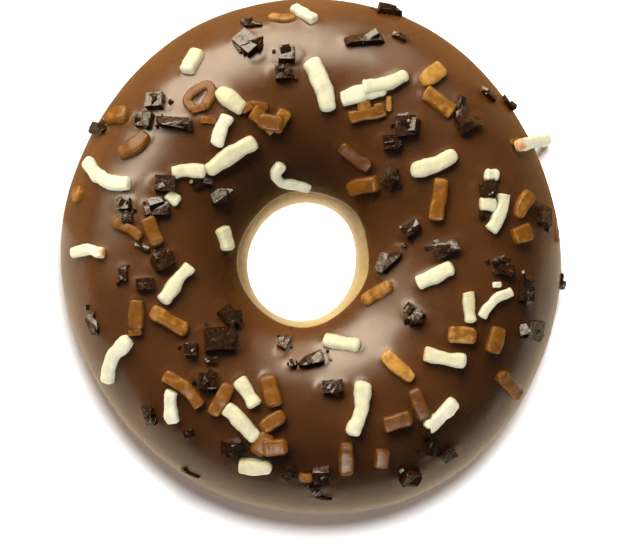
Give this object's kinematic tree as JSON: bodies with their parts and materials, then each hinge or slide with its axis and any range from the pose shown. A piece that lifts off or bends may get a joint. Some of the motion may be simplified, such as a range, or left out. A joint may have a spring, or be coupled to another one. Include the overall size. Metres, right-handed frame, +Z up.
{
  "type": "ring doughnut",
  "caption": "Ring doughnut with milk chocolate icing over its whole top and sides, strewn with broken white, caramel and dark chocolate pieces",
  "frame": {"origin": "on the surface that the doughnut rests on, below the middle of its outline", "axes": "+Z up through the hole; +Y towards the top of the picture and +X towards its right side, as seen from above"},
  "size_m": [0.09, 0.0928, 0.0342],
  "materials": {
    "fried_dough": "matt golden-brown fried dough",
    "chocolate_icing": "satin milk chocolate"
  },
  "bodies": {
    "root": {"dough": "fried_dough", "icing": "chocolate_icing"}
  },
  "joints": []
}
